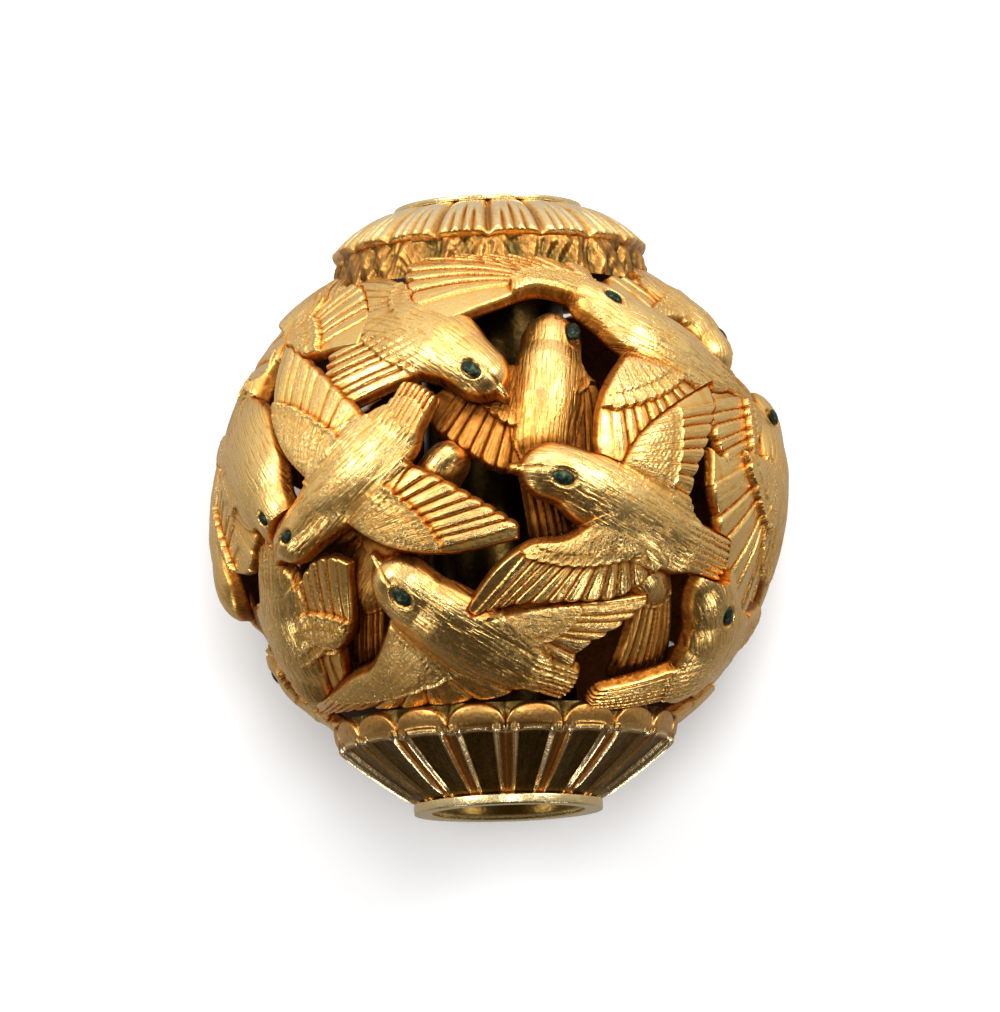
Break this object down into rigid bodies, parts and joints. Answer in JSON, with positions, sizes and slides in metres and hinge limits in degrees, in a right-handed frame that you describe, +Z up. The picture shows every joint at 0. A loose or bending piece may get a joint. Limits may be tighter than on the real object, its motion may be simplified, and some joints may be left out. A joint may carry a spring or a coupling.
{
  "type": "ojime bead",
  "caption": "Openwork ojime sliding bead: a ball of small flying birds soldered edge to edge between two petal collars, with a lined cord bore.",
  "frame": {"origin": "middle of the cord bore, at the centre of the ball", "axes": "+Y along the cord bore towards the upper collar, +Z up as the bead lies on its side, +X to the right in the picture"},
  "size_m": [0.0158, 0.0165, 0.0156],
  "materials": {
    "flock_gold": "carved gold, polished on the high parts, orange-brown in the recesses",
    "collar_gold": "polished gold with engraved petals",
    "liner_gold": "plain polished gold",
    "shakudo": "blue-black patinated copper alloy, polished"
  },
  "bodies": {
    "root": {"cord_tube": "liner_gold", "upper_eyelet": "liner_gold", "lower_eyelet": "liner_gold", "upper_petal_collar": "collar_gold", "lower_petal_collar": "collar_gold", "sparrow_01": "flock_gold", "sparrow_02": "flock_gold", "sparrow_03": "flock_gold", "sparrow_04": "flock_gold", "sparrow_05": "flock_gold", "sparrow_06": "flock_gold", "sparrow_07": "flock_gold", "sparrow_08": "flock_gold", "sparrow_09": "flock_gold", "sparrow_10": "flock_gold", "sparrow_11": "flock_gold", "sparrow_12": "flock_gold", "sparrow_13": "flock_gold", "sparrow_14": "flock_gold", "sparrow_15": "flock_gold", "sparrow_16": "flock_gold", "sparrow_17": "flock_gold", "sparrow_18": "flock_gold", "sparrow_19": "flock_gold", "sparrow_20": "flock_gold", "sparrow_21": "flock_gold", "sparrow_22": "flock_gold", "sparrow_23": "flock_gold", "sparrow_24": "flock_gold", "sparrow_25": "flock_gold", "sparrow_26": "flock_gold", "sparrow_27": "flock_gold", "sparrow_01_eye": "shakudo", "sparrow_02_eye": "shakudo", "sparrow_03_eye": "shakudo", "sparrow_04_eye": "shakudo", "sparrow_05_eye": "shakudo", "sparrow_06_eye": "shakudo", "sparrow_07_eye": "shakudo", "sparrow_08_eye": "shakudo", "sparrow_11_eye": "shakudo", "sparrow_12_eye": "shakudo", "sparrow_15_eye": "shakudo", "sparrow_16_eye": "shakudo", "sparrow_17_eye": "shakudo", "sparrow_18_eye": "shakudo", "sparrow_19_eye": "shakudo", "sparrow_20_eye": "shakudo", "sparrow_21_eye": "shakudo", "sparrow_22_eye": "shakudo", "sparrow_25_eye": "shakudo", "sparrow_26_eye": "shakudo"}
  },
  "joints": []
}
